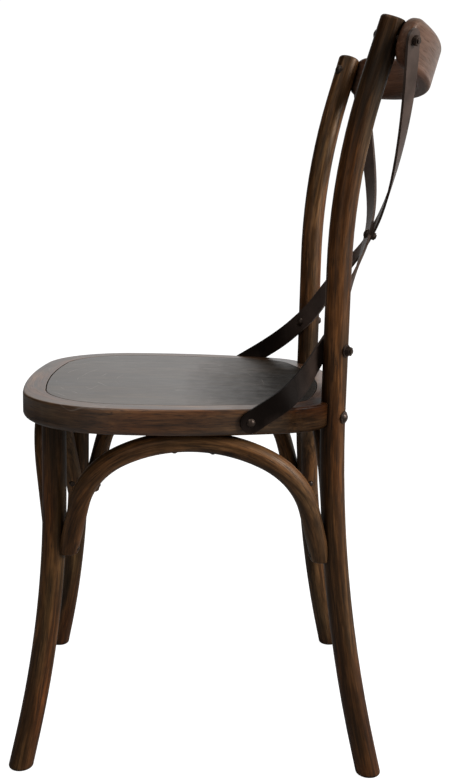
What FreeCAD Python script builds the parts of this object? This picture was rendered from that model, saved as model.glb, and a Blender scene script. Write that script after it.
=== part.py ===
import FreeCAD, Part
import math
import os
import Sketcher

# Cross back side chair in bent wood with two crossed steel straps in the back.
# Frame: +Z up, the sitter faces -Y, +X is the sitter's left, the floor is z = 0.
# The origin is on the floor, midway across and midway between front and back.

Vector = FreeCAD.Vector
Rotation = FreeCAD.Rotation
Placement = FreeCAD.Placement
up = Vector(0, 0, 1)

doc = FreeCAD.newDocument("CrossBackChair")
sheet = doc.addObject("Spreadsheet::Sheet", "Sizes")

# Driving dimensions in millimetres and degrees.
drivingSizes = [
    # seat ring and panel
    ("seatTop", 452, "top of the seat above the floor"),
    ("frameThickness", 31, "height of the bent seat ring"),
    ("seatHalfWidth", 219, "middle plane to the widest point of the ring"),
    ("seatDepth", 401, "front of the ring to its back"),
    ("widestFromFront", 168, "front of the ring to its widest point"),
    ("frontBowRadius", 810, "plan radius of the bowed front"),
    ("frontCornerRadius", 124, "plan radius of the front corners"),
    ("sideBowRadius", 530, "plan radius of the sides"),
    ("rearCornerRadius", 70, "plan radius of the rear corners"),
    ("rearBowRadius", 450, "plan radius of the back"),
    ("rimWidth", 27, "part of the ring seen round the panel"),
    ("ledgeWidth", 15, "ledge of the ring under the panel"),
    ("panelThickness", 9, "thickness of the seat panel"),
    ("panelGroove", 1, "open line between ring and panel"),
    ("panelEdgeRound", 0.8, "softened upper edge of the panel"),
    ("frameTopRound", 2.6, "rounded upper edge of the ring"),
    ("frameBottomRound", 7, "rounded lower edge of the ring"),
    # rear posts
    ("postLine", 125.2, "posts at the seat, from the origin towards the back"),
    ("seatPastPosts", 22, "back of the ring behind the line of the posts"),
    ("postInset", 70.5, "widest point of the ring to a post's axis at the seat"),
    ("postDiameter", 29.3, "rear post"),
    ("postTop", 883, "upper end of a post, on its axis"),
    ("postUpperBendStart", 608, "height where the backward bend begins"),
    ("postUpperBendRadius", 735, "radius of the backward bend"),
    ("postUpperLean", 16.8, "final lean of the post's top"),
    ("postUpperTurn", 67, "plan direction of that lean, from +X"),
    ("postLowerBendStart", 442, "height where the lower bend begins"),
    ("postLowerBendRadius", 1410, "radius of the lower bend"),
    ("postLowerLean", 17.2, "final splay of the post's foot"),
    ("postLowerTurn", 51, "plan direction of that splay, from +X"),
    ("postEndRound", 4, "rounded top edge of a post"),
    ("postSeatFlat", 3, "depth of the flat where the ring seats on a post"),
    # front legs
    ("legAhead", 331, "front legs' axes ahead of the rear posts"),
    ("legInset", 84.5, "widest point of the ring to a front leg's axis at the seat"),
    ("legDiameter", 29, "front leg"),
    ("legBendStart", 327, "height where the leg's bend begins"),
    ("legBendRadius", 900, "radius of the leg's bend"),
    ("legSplay", 18.8, "final splay of the leg's foot"),
    ("legTurn", -37.5, "plan direction of that splay, from +X"),
    ("tenonDiameter", 15, "round tenon on top of a leg"),
    ("tenonLength", 18, "height of that tenon"),
    ("footRound", 3.2, "rounded edge under each foot"),
    # arched braces
    ("archDiameter", 24.4, "bent brace under the seat"),
    ("archEndThickness", 15.2, "brace left where it is scribed to a leg"),
    ("archFoot", 257, "lower ends of the braces"),
    ("archTopFlat", 2, "flat cut where a brace meets the ring"),
    ("archUnderRim", 24, "outside of the ring to the middle of a brace"),
    ("archEndLean", 14, "inward lean of a brace's ends"),
    ("archFootRound", 2, "rounded edge at a brace's lower ends"),
    ("sideArchCrown", 174, "radius of a side brace's crown"),
    ("sideArchShoulder", 106, "radius of a side brace's shoulders"),
    ("crossArchCrown", 150, "radius of the front and rear braces' crown"),
    ("crossArchShoulder", 78, "radius of the front and rear braces' shoulders"),
    # crest rail
    ("crestHalfLength", 188, "middle plane to an end of the crest rail"),
    ("crestHeight", 54, "crest rail, along its lean"),
    ("crestThickness", 17.5, "crest rail"),
    ("crestRadius", 300, "plan radius of the crest rail's back"),
    ("crestLean", 14.5, "backward lean of the crest rail"),
    ("crestMiddle", 841.5, "height of the crest rail's middle"),
    ("crestBehindPosts", 124.5, "back of the crest rail behind the line of the posts"),
    ("crestBoltHeight", 863, "bolt through post, crest rail and strap, on the post's axis"),
    ("crestEndRound", 24, "rounded corners at the crest rail's ends"),
    ("crestEdgeRound", 7, "rounded long edges of the crest rail"),
    # steel straps
    ("strapWidth", 25, "steel strap"),
    ("strapThickness", 3, "steel strap"),
    ("strapCrossing", 643, "height where the straps cross"),
    ("crossingBehindPosts", 57, "crossing behind the line of the posts"),
    ("crossingLean", 19.1, "backward lean of the straps where they cross"),
    ("strapLowOut", 72, "middle plane to a strap, between crossing and post"),
    ("strapLowBehind", 23.5, "that point behind the line of the posts"),
    ("strapLowHeight", 577, "height of that point"),
    ("strapAtPost", 513, "height of the strap's bolt through a post"),
    ("strapPostTurn", 38, "plan angle of that bolt, from +Y"),
    ("strapRimAhead", 65, "where a strap comes down to the ring, ahead of the line of the posts"),
    ("strapRimAboveTop", 9, "that point above the top of the seat"),
    ("strapEndAhead", 101, "strap's lower screw ahead of the line of the posts"),
    ("strapEndBelowTop", 15, "strap's lower screw below the top of the seat"),
    ("strapRun", 13, "straight run of a strap either side of a bolt"),
    ("strapTopRun", 19, "straight run of a strap down the back of the crest rail"),
    ("strapTopTurn", 28, "slant of a strap at the crest rail, off the rail's upright"),
    ("strapEase", 0.8, "how softly a strap bends from the rail to the crossing"),
    # fasteners
    ("boltDiameter", 6, "bolt through a post"),
    ("boltHeadDiameter", 13, "domed bolt head"),
    ("boltHeadHeight", 3.6, "domed bolt head"),
    ("washerDiameter", 15, "washer"),
    ("washerThickness", 1.2, "washer"),
    ("nutDiameter", 11, "across the corners of a nut"),
    ("nutHeight", 5, "nut"),
    ("screwDiameter", 4.5, "wood screw"),
    ("screwHeadDiameter", 8.4, "wood screw head"),
    ("screwHeadHeight", 2.6, "wood screw head"),
    ("strapScrewHead", 9.5, "domed screw head at a strap's lower end"),
    ("seatBoltTurn", 35, "plan angle of the bolt from post to ring, from +Y"),
    ("seatBoltBelowTop", 18, "that bolt below the top of the seat"),
    ("seatBoltReach", 24, "that bolt's hold in the ring"),
    ("crossArchScrewHeight", 277, "screws of the front and rear braces"),
    ("sideArchScrewHeight", 265, "screws of the side braces"),
    ("legScrewReach", 16, "brace screws' hold in a leg"),
    ("crownScrewOffset", 22, "crown screws either side of a brace's middle"),
    ("crownScrewReach", 17, "crown screws' hold in the ring"),
    ("strapScrewReach", 18, "hold of a strap's lower screw in the ring"),
    ("spotFaceDepth", 0.6, "flat cut for a head or washer on a round bar"),
    ("screwHeadSink", 1.2, "brace screw heads below the bar's surface"),
    ("seatingGap", 0.3, "head or nut off a strap"),
    ("beyondNut", 1.5, "bolt past its nut"),
    ("boreClearance", 0.25, "hole round a fastener, on the radius"),
    ("fitClearance", 0.3, "scribed wooden fits and end gaps"),
]

for row, (alias, value, note) in enumerate(drivingSizes, start=1):
    sheet.set("A%d" % row, note)
    sheet.set("B%d" % row, str(value))
    sheet.setAlias("B%d" % row, alias)
doc.recompute()


def size(alias):
    return float(getattr(sheet, alias))


# Sizes that follow from the driving ones.
seatTop = size("seatTop")
seatBottom = seatTop - size("frameThickness")
postLine = size("postLine")
postX = size("seatHalfWidth") - size("postInset")
postRadius = size("postDiameter") / 2
legX = size("seatHalfWidth") - size("legInset")
legY = postLine - size("legAhead")
legRadius = size("legDiameter") / 2
seatBack = postLine + size("seatPastPosts")
seatFront = seatBack - size("seatDepth")
archRadius = size("archDiameter") / 2
boltRadius = size("boltDiameter") / 2
screwRadius = size("screwDiameter") / 2
clearance = size("boreClearance")
fit = size("fitClearance")
spotDepth = size("spotFaceDepth")
touch = size("seatingGap")
overrun = 5  # cutting tools past the faces they open
wideCutter = 400  # radius of the discs that trim feet and crowns level
sides = {"left": 1, "right": -1}


# Drawing helpers.
def newBody(name):
    body = doc.addObject("PartDesign::Body", name)
    body.Label = name
    return body


def originPlane(body, role):
    return next(item for item in body.Origin.OriginFeatures if item.Role == role)


def newSketch(body, name, role="XY_Plane", offset=None):
    sketch = body.newObject("Sketcher::SketchObject", name)
    sketch.AttachmentSupport = (originPlane(body, role), [""])
    sketch.MapMode = "FlatFace"
    if offset is not None:
        sketch.AttachmentOffset = offset
    return sketch


def constrain(sketch, kind, *arguments, formula=None):
    index = sketch.addConstraint(Sketcher.Constraint(kind, *arguments))
    if formula is not None:
        sketch.setExpression("Constraints[%d]" % index, formula)


def feature(body, kind, name, **settings):
    item = body.newObject("PartDesign::" + kind, name)
    for key, value in settings.items():
        setattr(item, key, value)
    return item


def roundEdges(body, name, edges, radiusFormula):
    base = body.Tip
    item = feature(body, "Fillet", name, Base=(base, edges))
    item.setExpression("Radius", radiusFormula)
    body.Tip = item
    doc.recompute()
    return item


def edgeNames(shape, wanted):
    names = []
    for index, edge in enumerate(shape.Edges, start=1):
        if any(edge.isSame(other) for other in wanted):
            names.append("Edge%d" % index)
    return names


def faceEdges(shape, chooseFace):
    faces = [face for face in shape.Faces if chooseFace(face)]
    return edgeNames(shape, [edge for face in faces for edge in face.OuterWire.Edges])


def flatFace(direction, reach):
    def test(face):
        if face.Surface.TypeId != "Part::GeomPlane":
            return False
        normal = face.normalAt(0, 0)
        return normal.dot(direction) > 0.9 and abs(face.CenterOfMass.dot(direction) - reach) < 1.0
    return test


def circleSketch(body, name, offset, radiusFormula, radius):
    sketch = newSketch(body, name, offset=offset)
    sketch.addGeometry(Part.Circle(Vector(0, 0, 0), up, radius), False)
    constrain(sketch, "Coincident", 0, 3, -1, 1)
    constrain(sketch, "Radius", 0, radius, formula=radiusFormula)
    return sketch


def circlesMeet(centreA, radiusA, centreB, radiusB, near):
    gap = centreB - centreA
    along = (radiusA ** 2 - radiusB ** 2 + gap.Length ** 2) / (2 * gap.Length)
    across = math.sqrt(radiusA ** 2 - along ** 2)
    unit = Vector(gap).normalize()
    foot = centreA + unit * along
    normal = Vector(-unit.y, unit.x, 0)
    return min((foot + normal * across, foot - normal * across), key=lambda p: (p - near).Length)


def arcBetween(centre, radius, start, end):
    first = math.atan2(start.y - centre.y, start.x - centre.x)
    last = math.atan2(end.y - centre.y, end.x - centre.x)
    if last < first:
        last += 2 * math.pi
    return Part.ArcOfCircle(Part.Circle(centre, up, radius), first, last)


def mirrored(point):
    return Vector(-point.x, point.y, point.z)


# The ring's plan: eight tangent arcs, the same centres for every inset.
frontCentre = Vector(0, seatFront + size("frontBowRadius"), 0)
rearCentre = Vector(0, seatBack - size("rearBowRadius"), 0)
widestY = seatFront + size("widestFromFront")
sideCentre = Vector(size("seatHalfWidth") - size("sideBowRadius"), widestY, 0)
frontCorner = circlesMeet(
    frontCentre, size("frontBowRadius") - size("frontCornerRadius"),
    sideCentre, size("sideBowRadius") - size("frontCornerRadius"),
    Vector(size("seatHalfWidth"), seatFront, 0))
rearCorner = circlesMeet(
    rearCentre, size("rearBowRadius") - size("rearCornerRadius"),
    sideCentre, size("sideBowRadius") - size("rearCornerRadius"),
    Vector(size("seatHalfWidth"), seatBack, 0))


def sideSurface(y, outward=0.0):
    sine = (y - sideCentre.y) / size("sideBowRadius")
    normal = Vector(math.sqrt(1 - sine ** 2), sine, 0)
    return sideCentre + normal * (size("sideBowRadius") + outward), normal


def ringSketch(body, name, inset, insetFormula, height, heightFormula):
    sketch = newSketch(body, name, offset=Placement(Vector(0, 0, height), Rotation()))
    sketch.setExpression("AttachmentOffset.Base.z", heightFormula)
    radii = [size(n) - inset for n in ("frontBowRadius", "frontCornerRadius", "sideBowRadius",
                                       "rearCornerRadius", "rearBowRadius")]
    front, cornerF, side, cornerR, rear = radii

    def touch(centre, radius, cornerCentre):
        return centre + Vector(cornerCentre - centre).normalize() * radius

    frontEnd = touch(frontCentre, front, frontCorner)
    sideStart = touch(sideCentre, side, frontCorner)
    sideEnd = touch(sideCentre, side, rearCorner)
    rearStart = touch(rearCentre, rear, rearCorner)
    arcs = [
        arcBetween(frontCentre, front, mirrored(frontEnd), frontEnd),
        arcBetween(frontCorner, cornerF, frontEnd, sideStart),
        arcBetween(sideCentre, side, sideStart, sideEnd),
        arcBetween(rearCorner, cornerR, sideEnd, rearStart),
        arcBetween(rearCentre, rear, rearStart, mirrored(rearStart)),
        arcBetween(mirrored(rearCorner), cornerR, mirrored(rearStart), mirrored(sideEnd)),
        arcBetween(mirrored(sideCentre), side, mirrored(sideEnd), mirrored(sideStart)),
        arcBetween(mirrored(frontCorner), cornerF, mirrored(sideStart), mirrored(frontEnd)),
    ]
    for arc in arcs:
        sketch.addGeometry(arc, False)
    for index in range(8):
        constrain(sketch, "Tangent", index, 2, (index + 1) % 8, 1)
    names = ["frontBowRadius", "frontCornerRadius", "sideBowRadius", "rearCornerRadius",
             "rearBowRadius", "rearCornerRadius", "sideBowRadius", "frontCornerRadius"]
    for index, alias in enumerate(names):
        constrain(sketch, "Radius", index, size(alias) - inset,
                  formula="Sizes.%s - (%s)" % (alias, insetFormula))
    frontY = "Sizes.postLine + Sizes.seatPastPosts - Sizes.seatDepth"
    constrain(sketch, "PointOnObject", 0, 3, -2)
    constrain(sketch, "DistanceY", 0, 3, frontCentre.y, formula=frontY + " + Sizes.frontBowRadius")
    constrain(sketch, "PointOnObject", 4, 3, -2)
    constrain(sketch, "DistanceY", 4, 3, rearCentre.y,
              formula="Sizes.postLine + Sizes.seatPastPosts - Sizes.rearBowRadius")
    for index, sign in ((2, 1), (6, -1)):
        constrain(sketch, "DistanceX", index, 3, sign * sideCentre.x,
                  formula="%d * (Sizes.seatHalfWidth - Sizes.sideBowRadius)" % sign)
        constrain(sketch, "DistanceY", index, 3, sideCentre.y,
                  formula=frontY + " + Sizes.widestFromFront")
    return sketch


# Bent legs and posts: a straight run, one bend and a straight end, in an upright plane.
def bendSketch(body, name, offset, start, bend, end, formulas):
    bendStart, radius, lean = bend
    turn = 1 if end > start else -1
    angle = math.radians(lean)
    bendEnd = Vector(radius * (1 - math.cos(angle)), bendStart + turn * radius * math.sin(angle), 0)
    tip = Vector(bendEnd.x + abs(end - bendEnd.y) * math.tan(angle), end, 0)
    sketch = newSketch(body, name, "XZ_Plane", offset)
    circle = Part.Circle(Vector(radius, bendStart, 0), up, radius)
    sketch.addGeometry(Part.LineSegment(Vector(0, start, 0), Vector(0, bendStart, 0)), False)
    if turn > 0:
        sketch.addGeometry(Part.ArcOfCircle(circle, math.pi - angle, math.pi), False)
        arcStart, arcEnd = 2, 1
    else:
        sketch.addGeometry(Part.ArcOfCircle(circle, math.pi, math.pi + angle), False)
        arcStart, arcEnd = 1, 2
    sketch.addGeometry(Part.LineSegment(bendEnd, tip), False)
    constrain(sketch, "Tangent", 0, 2, 1, arcStart)
    constrain(sketch, "Tangent", 1, arcEnd, 2, 1)
    constrain(sketch, "PointOnObject", 0, 1, -2)
    constrain(sketch, "Vertical", 0)
    constrain(sketch, "DistanceY", 0, 1, start, formula=formulas["start"])
    constrain(sketch, "DistanceY", 0, 2, bendStart, formula=formulas["bendStart"])
    constrain(sketch, "Radius", 1, radius, formula=formulas["radius"])
    constrain(sketch, "Angle", 2, turn * (math.pi / 2 - angle),
              formula="%d * (90 - (%s))" % (turn, formulas["lean"]))
    constrain(sketch, "DistanceY", 2, 2, end, formula=formulas["end"])
    return sketch


def bentPipe(body, name, radius, radiusFormula, planeTurn, start, bend, end, formulas):
    offset = Placement(Vector(0, 0, start), Rotation())
    section = circleSketch(body, name + "_section", offset, radiusFormula, radius)
    section.setExpression("AttachmentOffset.Base.z", formulas["start"])
    plane = Placement(Vector(), Rotation(Vector(0, 1, 0), planeTurn))
    path = bendSketch(body, name + "_path", plane, start, bend, end, formulas)
    doc.recompute()
    pipe = feature(body, "AdditivePipe", name, Profile=(section, [""]),
                   Spine=(path, ["Edge1", "Edge2", "Edge3"]))
    doc.recompute()
    return pipe


def cutLevelFoot(body, name):
    sketch = newSketch(body, name + "_outline")
    sketch.addGeometry(Part.Circle(Vector(0, 0, 0), up, wideCutter), False)
    pocket = feature(body, "Pocket", name, Profile=sketch, Type=1)
    doc.recompute()
    return pocket


def standing(body, x, y, side, turn):
    plan = turn if side > 0 else 180 - turn
    body.Placement = Placement(Vector(x * side, y, 0), Rotation(up, plan))


splitFormula = "(Sizes.postLowerBendStart + Sizes.postUpperBendStart) / 2"
splitHeight = (size("postLowerBendStart") + size("postUpperBendStart")) / 2
belowFloor = -12
postUpperBend = (size("postUpperBendStart"), size("postUpperBendRadius"), size("postUpperLean"))
postLowerBend = (size("postLowerBendStart"), size("postLowerBendRadius"), size("postLowerLean"))
legBend = (size("legBendStart"), size("legBendRadius"), size("legSplay"))


def makePost(name, side, grow, growFormula):
    body = newBody(name)
    radius = postRadius + grow
    radiusFormula = "Sizes.postDiameter / 2" + growFormula
    planeTurn = side * (size("postUpperTurn") - size("postLowerTurn"))
    bentPipe(body, name + "_upper", radius, radiusFormula, planeTurn, splitHeight, postUpperBend,
             size("postTop"),
             {"start": splitFormula, "bendStart": "Sizes.postUpperBendStart",
              "radius": "Sizes.postUpperBendRadius", "lean": "Sizes.postUpperLean",
              "end": "Sizes.postTop"})
    if not grow:
        top = max(body.Tip.Shape.Faces, key=lambda face: face.CenterOfMass.z)
        roundEdges(body, name + "_top_round", edgeNames(body.Tip.Shape, top.OuterWire.Edges),
                   "Sizes.postEndRound")
    bentPipe(body, name + "_lower", radius, radiusFormula, 0, splitHeight, postLowerBend, belowFloor,
             {"start": splitFormula, "bendStart": "Sizes.postLowerBendStart",
              "radius": "Sizes.postLowerBendRadius", "lean": "Sizes.postLowerLean",
              "end": str(belowFloor)})
    cutLevelFoot(body, name + "_foot")
    if not grow:
        edges = faceEdges(body.Tip.Shape, flatFace(Vector(0, 0, -1), 0))
        roundEdges(body, name + "_foot_round", edges, "Sizes.footRound")
    standing(body, postX, postLine, side, size("postLowerTurn"))
    return body


def makeLeg(name, side, grow, growFormula):
    body = newBody(name)
    bentPipe(body, name + "_run", legRadius + grow, "Sizes.legDiameter / 2" + growFormula, 0,
             seatBottom, legBend, belowFloor,
             {"start": "Sizes.seatTop - Sizes.frameThickness", "bendStart": "Sizes.legBendStart",
              "radius": "Sizes.legBendRadius", "lean": "Sizes.legSplay", "end": str(belowFloor)})
    cutLevelFoot(body, name + "_foot")
    if not grow:
        edges = faceEdges(body.Tip.Shape, flatFace(Vector(0, 0, -1), 0))
        roundEdges(body, name + "_foot_round", edges, "Sizes.footRound")
        shoulder = Placement(Vector(0, 0, seatBottom), Rotation())
        tenon = circleSketch(body, name + "_tenon_section", shoulder, "Sizes.tenonDiameter / 2",
                             size("tenonDiameter") / 2)
        tenon.setExpression("AttachmentOffset.Base.z", "Sizes.seatTop - Sizes.frameThickness")
        pad = feature(body, "Pad", name + "_tenon", Profile=tenon)
        pad.setExpression("Length", "Sizes.tenonLength")
        doc.recompute()
    standing(body, legX, legY, side, size("legTurn"))
    return body


def bendAxis(base, bend, turn, side, height):
    bendStart, radius, lean = bend
    rise = abs(height - bendStart)
    angle = min(math.asin(min(rise / radius, 1)), math.radians(lean))
    rest = rise - radius * math.sin(angle)
    out = radius * (1 - math.cos(angle)) + rest * math.tan(angle)
    plan = math.radians(turn)
    return Vector(side * (base.x + out * math.cos(plan)), base.y + out * math.sin(plan), height)


def postAxis(side, height):
    base = Vector(postX, postLine, 0)
    if height > postUpperBend[0]:
        return bendAxis(base, postUpperBend, size("postUpperTurn"), side, height)
    if height < postLowerBend[0]:
        return bendAxis(base, postLowerBend, size("postLowerTurn"), side, height)
    return Vector(side * postX, postLine, height)


def legAxis(side, height):
    base = Vector(legX, legY, 0)
    if height < legBend[0]:
        return bendAxis(base, legBend, size("legTurn"), side, height)
    return Vector(side * legX, legY, height)


# Cutting away: each tool is taken from the piece in turn, and the last cut is the piece.
def cutAway(name, base, tools):
    result = base
    for index, tool in enumerate(tools, start=1):
        cut = doc.addObject("Part::Cut", "%s_cut_%d" % (name, index))
        cut.Refine = False
        cut.Base = result
        cut.Tool = tool
        result = cut
    doc.recompute()
    if result is not base:
        base.Label = name + "_uncut"
    result.Label = name
    return result


def bore(name, origin, direction, radius, radiusFormula, length):
    cylinder = doc.addObject("Part::Cylinder", name)
    cylinder.Height = length
    cylinder.Radius = radius
    cylinder.setExpression("Radius", radiusFormula)
    cylinder.Placement = Placement(origin, Rotation(up, direction))
    return cylinder


def block(name, origin, rotation, length, width, height):
    box = doc.addObject("Part::Box", name)
    box.Length = length
    box.Width = width
    box.Height = height
    box.Placement = Placement(origin, rotation)
    return box


# Fasteners, drawn along +Z with the underside of the head at the origin.
def domedBody(name, headRadius, headFormula, headHeight, heightFormula, shank, shankFormula, reach):
    body = newBody(name)
    sketch = newSketch(body, name + "_profile", "XZ_Plane")
    drop = (headRadius ** 2 - headHeight ** 2) / (2 * headHeight)
    curve = headHeight + drop
    dome = Part.Circle(Vector(0, -drop, 0), up, curve)
    start = math.atan2(drop, headRadius)
    sketch.addGeometry(Part.ArcOfCircle(dome, start, math.pi / 2), False)
    corners = [Vector(0, headHeight, 0), Vector(0, -reach, 0), Vector(shank, -reach, 0),
               Vector(shank, 0, 0), Vector(headRadius, 0, 0)]
    for first, last in zip(corners, corners[1:]):
        sketch.addGeometry(Part.LineSegment(first, last), False)
    constrain(sketch, "Coincident", 0, 2, 1, 1)
    for index in (1, 2, 3):
        constrain(sketch, "Coincident", index, 2, index + 1, 1)
    constrain(sketch, "Coincident", 4, 2, 0, 1)
    constrain(sketch, "PointOnObject", 0, 3, -2)
    constrain(sketch, "PointOnObject", 1, 1, -2)
    constrain(sketch, "Vertical", 1)
    constrain(sketch, "Horizontal", 2)
    constrain(sketch, "Vertical", 3)
    constrain(sketch, "Horizontal", 4)
    constrain(sketch, "PointOnObject", 3, 2, -1)
    constrain(sketch, "DistanceY", 0, 2, headHeight, formula=heightFormula)
    constrain(sketch, "DistanceX", 4, 2, headRadius, formula=headFormula)
    constrain(sketch, "DistanceX", 3, 1, shank, formula=shankFormula)
    constrain(sketch, "DistanceY", 2, 2, -reach)
    turned = feature(body, "Revolution", name + "_turned", Profile=sketch,
                     ReferenceAxis=(sketch, ["V_Axis"]), Angle=360)
    doc.recompute()
    body.Label = name + "_pattern"
    return body


def boltPattern(name, reach):
    return domedBody(name, size("boltHeadDiameter") / 2, "Sizes.boltHeadDiameter / 2",
                     size("boltHeadHeight"), "Sizes.boltHeadHeight",
                     boltRadius, "Sizes.boltDiameter / 2", reach)


def screwPattern(name, head, headFormula, reach):
    return domedBody(name, head / 2, headFormula, size("screwHeadHeight"), "Sizes.screwHeadHeight",
                     screwRadius, "Sizes.screwDiameter / 2", reach)


def ringPattern(name, kind, outerProperty, outerFormula, heightFormula):
    outer = doc.addObject(kind, name + "_outer")
    if kind == "Part::Prism":
        outer.Polygon = 6
    outer.setExpression(outerProperty, outerFormula)
    outer.setExpression("Height", heightFormula)
    hole = doc.addObject("Part::Cylinder", name + "_hole")
    hole.setExpression("Radius", "Sizes.boltDiameter / 2 + Sizes.boreClearance")
    hole.setExpression("Height", heightFormula)
    return cutAway(name + "_pattern", outer, [hole])


nutPattern = ringPattern("nut", "Part::Prism", "Circumradius", "Sizes.nutDiameter / 2",
                         "Sizes.nutHeight")
washerPattern = ringPattern("washer", "Part::Cylinder", "Radius", "Sizes.washerDiameter / 2",
                            "Sizes.washerThickness")


def placed(name, pattern, origin, direction):
    item = doc.addObject("Part::Feature", name)
    item.Shape = pattern.Shape.copy()
    item.Placement = Placement(origin, Rotation(up, direction))
    return item


def group(name, items):
    compound = doc.addObject("Part::Compound", name)
    compound.Links = items
    compound.Label = name
    return compound


pieces = {}
tools = {}


def alsoCut(piece, *items):
    tools.setdefault(piece, []).extend(items)


def boltBore(name, pieceNames, origin, direction, length):
    for piece in pieceNames:
        alsoCut(piece, bore("%s_in_%s" % (name, piece), origin, direction, boltRadius + clearance,
                            "Sizes.boltDiameter / 2 + Sizes.boreClearance", length))


def screwBore(name, pieceNames, origin, direction, length):
    for piece in pieceNames:
        alsoCut(piece, bore("%s_in_%s" % (name, piece), origin, direction, screwRadius + clearance,
                            "Sizes.screwDiameter / 2 + Sizes.boreClearance", length))


spotReach = 12  # a spot face tool, out past the bar's surface


def spotFace(name, piece, origin, direction, diameterAlias):
    radius = size(diameterAlias) / 2 + clearance
    alsoCut(piece, bore("%s_seat_in_%s" % (name, piece), origin, direction, radius,
                        "Sizes.%s / 2 + Sizes.boreClearance" % diameterAlias, spotReach))


# Crest rail: a bent board with rounded ends, leaning back with the posts.
def makeCrest():
    body = newBody("crest_rail_board")
    radius = size("crestRadius")
    inner = radius - size("crestThickness")
    half = math.asin(size("crestHalfLength") / radius)
    height = size("crestHeight")
    sketch = newSketch(body, "crest_rail_plan", offset=Placement(Vector(0, 0, -height / 2), Rotation()))
    sketch.setExpression("AttachmentOffset.Base.z", "-Sizes.crestHeight / 2")
    centre = Vector(0, -radius, 0)

    def onArc(distance, angle):
        return centre + Vector(math.sin(angle), math.cos(angle), 0) * distance

    span = (math.pi / 2 - half, math.pi / 2 + half)
    sketch.addGeometry(Part.ArcOfCircle(Part.Circle(centre, up, radius), *span), False)
    sketch.addGeometry(Part.ArcOfCircle(Part.Circle(centre, up, inner), *span), False)
    for angle in (half, -half):
        sketch.addGeometry(Part.LineSegment(onArc(radius, angle), onArc(inner, angle)), False)
    constrain(sketch, "Coincident", 0, 1, 2, 1)
    constrain(sketch, "Coincident", 1, 1, 2, 2)
    constrain(sketch, "Coincident", 0, 2, 3, 1)
    constrain(sketch, "Coincident", 1, 2, 3, 2)
    constrain(sketch, "Coincident", 0, 3, 1, 3)
    constrain(sketch, "PointOnObject", 0, 3, -2)
    constrain(sketch, "DistanceY", 0, 3, -radius, formula="-Sizes.crestRadius")
    constrain(sketch, "Radius", 0, radius, formula="Sizes.crestRadius")
    constrain(sketch, "Radius", 1, inner, formula="Sizes.crestRadius - Sizes.crestThickness")
    constrain(sketch, "DistanceX", 2, 1, size("crestHalfLength"), formula="Sizes.crestHalfLength")
    constrain(sketch, "DistanceX", 3, 1, -size("crestHalfLength"), formula="-Sizes.crestHalfLength")
    constrain(sketch, "PointOnObject", 0, 3, 2)
    constrain(sketch, "PointOnObject", 0, 3, 3)
    board = feature(body, "Pad", "crest_rail_bent_board", Profile=sketch)
    board.setExpression("Length", "Sizes.crestHeight")
    doc.recompute()

    def endCorner(edge):
        if edge.Curve.TypeId != "Part::GeomLine" or len(edge.Vertexes) != 2:
            return False
        first, last = (vertex.Point for vertex in edge.Vertexes)
        return abs(first.z - last.z) < 0.01

    corners = [edge for edge in body.Tip.Shape.Edges if endCorner(edge)]
    roundEdges(body, "crest_rail_end_round", edgeNames(body.Tip.Shape, corners), "Sizes.crestEndRound")

    def bentFace(face):
        return face.Surface.TypeId == "Part::GeomCylinder" and face.Surface.Radius > size("crestRadius") / 2

    edges = faceEdges(body.Tip.Shape, bentFace)
    roundEdges(body, "crest_rail_edge_round", edges, "Sizes.crestEdgeRound")
    base = Vector(0, postLine + size("crestBehindPosts"), size("crestMiddle"))
    body.Placement = Placement(base, Rotation(Vector(1, 0, 0), -size("crestLean")))
    return body


crestPlacement = Placement(Vector(0, postLine + size("crestBehindPosts"), size("crestMiddle")),
                           Rotation(Vector(1, 0, 0), -size("crestLean")))
crestCentre = crestPlacement.multVec(Vector(0, -size("crestRadius"), 0))
crestAxis = crestPlacement.Rotation.multVec(up)


def crestSurface(point, outward=0.0):
    along = (point - crestCentre).dot(crestAxis)
    foot = crestCentre + crestAxis * along
    normal = Vector(point - foot).normalize()
    return foot + normal * (size("crestRadius") + outward), normal


# Seat ring and panel.
def ringPad(body, name, inset, insetFormula, height, heightFormula, kind, lengthFormula):
    sketch = ringSketch(body, name + "_outline", inset, insetFormula, height, heightFormula)
    solid = feature(body, kind, name, Profile=sketch)
    solid.setExpression("Length", lengthFormula)
    doc.recompute()
    return solid


def makeRing():
    body = newBody("seat_frame_bent")
    bottomFormula = "Sizes.seatTop - Sizes.frameThickness"
    inner = size("rimWidth") + size("ledgeWidth")
    ringPad(body, "seat_frame_ring", 0, "0", seatBottom, bottomFormula, "Pad", "Sizes.frameThickness")
    ringPad(body, "seat_frame_opening", inner, "Sizes.rimWidth + Sizes.ledgeWidth", seatTop,
            "Sizes.seatTop", "Pocket", "Sizes.frameThickness")
    ringPad(body, "seat_frame_rebate", size("rimWidth"), "Sizes.rimWidth", seatTop,
            "Sizes.seatTop", "Pocket", "Sizes.panelThickness")
    roundEdges(body, "seat_frame_top_round", faceEdges(body.Tip.Shape, flatFace(up, seatTop)),
               "Sizes.frameTopRound")
    roundEdges(body, "seat_frame_bottom_round", faceEdges(body.Tip.Shape, flatFace(-up, -seatBottom)),
               "Sizes.frameBottomRound")
    return body


def makePanel():
    body = newBody("seat_panel")
    inset = size("rimWidth") + size("panelGroove")
    ringPad(body, "seat_panel_sheet", inset, "Sizes.rimWidth + Sizes.panelGroove",
            seatTop - size("panelThickness"), "Sizes.seatTop - Sizes.panelThickness", "Pad",
            "Sizes.panelThickness")
    roundEdges(body, "seat_panel_edge_round", faceEdges(body.Tip.Shape, flatFace(up, seatTop)),
               "Sizes.panelEdgeRound")
    return body


pieces["seat_frame"] = makeRing()
pieces["seat_panel"] = makePanel()

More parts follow.
